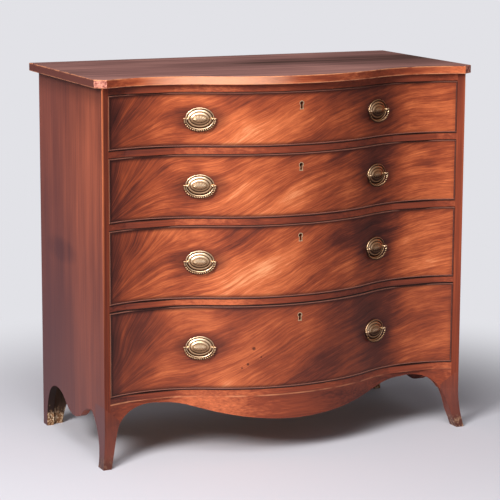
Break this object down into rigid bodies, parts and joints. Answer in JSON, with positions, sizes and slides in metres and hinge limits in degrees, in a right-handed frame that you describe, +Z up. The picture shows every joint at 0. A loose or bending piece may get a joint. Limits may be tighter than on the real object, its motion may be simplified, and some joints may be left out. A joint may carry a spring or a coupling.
{
  "type": "serpentine chest of drawers",
  "caption": "Serpentine-fronted mahogany chest of graduated drawers with oval brass bail handles, keyhole escutcheons, cock-beaded fronts, shaped apron and splayed feet.",
  "frame": {"origin": "on the floor, under the middle of the top board", "axes": "+X to the viewer's right along the front, +Y to the back, +Z up"},
  "size_m": [1.016, 0.5519, 0.94],
  "materials": {
    "mahogany": "waxed solid mahogany",
    "mahogany_side": "waxed mahogany, upright grain",
    "flame_mahogany": "polished flame mahogany veneer",
    "oak": "bare oak",
    "pine": "bare aged pine",
    "brass": "aged gilt brass",
    "lock_brass": "dull lock brass",
    "lock_steel": "worn steel"
  },
  "bodies": {
    "carcass": {"top_board": "mahogany", "left_side": "mahogany_side", "right_side": "mahogany_side", "back_boards": "pine", "top_rails": "mahogany", "drawer_dividers": "mahogany", "bottom_rail": "mahogany", "dust_boards": "pine", "drawer_runners": "oak", "drawer_kickers": "oak", "drawer_stops": "oak", "apron": "mahogany", "left_front_foot": "mahogany", "right_front_foot": "mahogany", "rear_foot_brackets": "pine", "foot_blocks": "pine"},
    "drawer_1": {"drawer_1_front": "flame_mahogany", "drawer_1_cock_beads": "mahogany", "drawer_1_linings": "oak", "drawer_1_bottom": "oak", "drawer_1_lock": "lock_brass", "drawer_1_escutcheon": "brass", "drawer_1_handle_plates": "brass", "drawer_1_handle_posts": "brass"},
    "drawer_1_bolt": {"drawer_1_lock_bolt": "lock_steel"},
    "drawer_1_left_bail": {"drawer_1_left_bail": "brass"},
    "drawer_1_right_bail": {"drawer_1_right_bail": "brass"},
    "drawer_2": {"drawer_2_front": "flame_mahogany", "drawer_2_cock_beads": "mahogany", "drawer_2_linings": "oak", "drawer_2_bottom": "oak", "drawer_2_lock": "lock_brass", "drawer_2_escutcheon": "brass", "drawer_2_handle_plates": "brass", "drawer_2_handle_posts": "brass"},
    "drawer_2_bolt": {"drawer_2_lock_bolt": "lock_steel"},
    "drawer_2_left_bail": {"drawer_2_left_bail": "brass"},
    "drawer_2_right_bail": {"drawer_2_right_bail": "brass"},
    "drawer_3": {"drawer_3_front": "flame_mahogany", "drawer_3_cock_beads": "mahogany", "drawer_3_linings": "oak", "drawer_3_bottom": "oak", "drawer_3_lock": "lock_brass", "drawer_3_escutcheon": "brass", "drawer_3_handle_plates": "brass", "drawer_3_handle_posts": "brass"},
    "drawer_3_bolt": {"drawer_3_lock_bolt": "lock_steel"},
    "drawer_3_left_bail": {"drawer_3_left_bail": "brass"},
    "drawer_3_right_bail": {"drawer_3_right_bail": "brass"},
    "drawer_4": {"drawer_4_front": "flame_mahogany", "drawer_4_cock_beads": "mahogany", "drawer_4_linings": "oak", "drawer_4_bottom": "oak", "drawer_4_lock": "lock_brass", "drawer_4_escutcheon": "brass", "drawer_4_handle_plates": "brass", "drawer_4_handle_posts": "brass"},
    "drawer_4_bolt": {"drawer_4_lock_bolt": "lock_steel"},
    "drawer_4_left_bail": {"drawer_4_left_bail": "brass"},
    "drawer_4_right_bail": {"drawer_4_right_bail": "brass"}
  },
  "joints": [
    {"name": "drawer_1_slide", "type": "slide", "parent": "carcass", "child": "drawer_1", "axis": [0, -1, 0], "range_m": [0, 0.33]},
    {"name": "drawer_1_bolt_slide", "type": "slide", "parent": "drawer_1", "child": "drawer_1_bolt", "axis": [0, 0, 1], "range_m": [0, 0.008]},
    {"name": "drawer_1_left_bail_swing", "type": "hinge", "parent": "drawer_1", "child": "drawer_1_left_bail", "pos_m": [-0.24246, -0.20378, 0.837], "axis": [-0.918, 0.3967, 0], "range_deg": [0, 155]},
    {"name": "drawer_1_right_bail_swing", "type": "hinge", "parent": "drawer_1", "child": "drawer_1_right_bail", "pos_m": [0.24246, -0.20378, 0.837], "axis": [-0.918, -0.3967, 0], "range_deg": [0, 155]},
    {"name": "drawer_2_slide", "type": "slide", "parent": "carcass", "child": "drawer_2", "axis": [0, -1, 0], "range_m": [0, 0.33]},
    {"name": "drawer_2_bolt_slide", "type": "slide", "parent": "drawer_2", "child": "drawer_2_bolt", "axis": [0, 0, 1], "range_m": [0, 0.008]},
    {"name": "drawer_2_left_bail_swing", "type": "hinge", "parent": "drawer_2", "child": "drawer_2_left_bail", "pos_m": [-0.24246, -0.20378, 0.6755], "axis": [-0.918, 0.3967, 0], "range_deg": [0, 155]},
    {"name": "drawer_2_right_bail_swing", "type": "hinge", "parent": "drawer_2", "child": "drawer_2_right_bail", "pos_m": [0.24246, -0.20378, 0.6755], "axis": [-0.918, -0.3967, 0], "range_deg": [0, 155]},
    {"name": "drawer_3_slide", "type": "slide", "parent": "carcass", "child": "drawer_3", "axis": [0, -1, 0], "range_m": [0, 0.33]},
    {"name": "drawer_3_bolt_slide", "type": "slide", "parent": "drawer_3", "child": "drawer_3_bolt", "axis": [0, 0, 1], "range_m": [0, 0.008]},
    {"name": "drawer_3_left_bail_swing", "type": "hinge", "parent": "drawer_3", "child": "drawer_3_left_bail", "pos_m": [-0.24246, -0.20378, 0.4895], "axis": [-0.918, 0.3967, 0], "range_deg": [0, 155]},
    {"name": "drawer_3_right_bail_swing", "type": "hinge", "parent": "drawer_3", "child": "drawer_3_right_bail", "pos_m": [0.24246, -0.20378, 0.4895], "axis": [-0.918, -0.3967, 0], "range_deg": [0, 155]},
    {"name": "drawer_4_slide", "type": "slide", "parent": "carcass", "child": "drawer_4", "axis": [0, -1, 0], "range_m": [0, 0.33]},
    {"name": "drawer_4_bolt_slide", "type": "slide", "parent": "drawer_4", "child": "drawer_4_bolt", "axis": [0, 0, 1], "range_m": [0, 0.008]},
    {"name": "drawer_4_left_bail_swing", "type": "hinge", "parent": "drawer_4", "child": "drawer_4_left_bail", "pos_m": [-0.24246, -0.20378, 0.277], "axis": [-0.918, 0.3967, 0], "range_deg": [0, 155]},
    {"name": "drawer_4_right_bail_swing", "type": "hinge", "parent": "drawer_4", "child": "drawer_4_right_bail", "pos_m": [0.24246, -0.20378, 0.277], "axis": [-0.918, -0.3967, 0], "range_deg": [0, 155]}
  ]
}
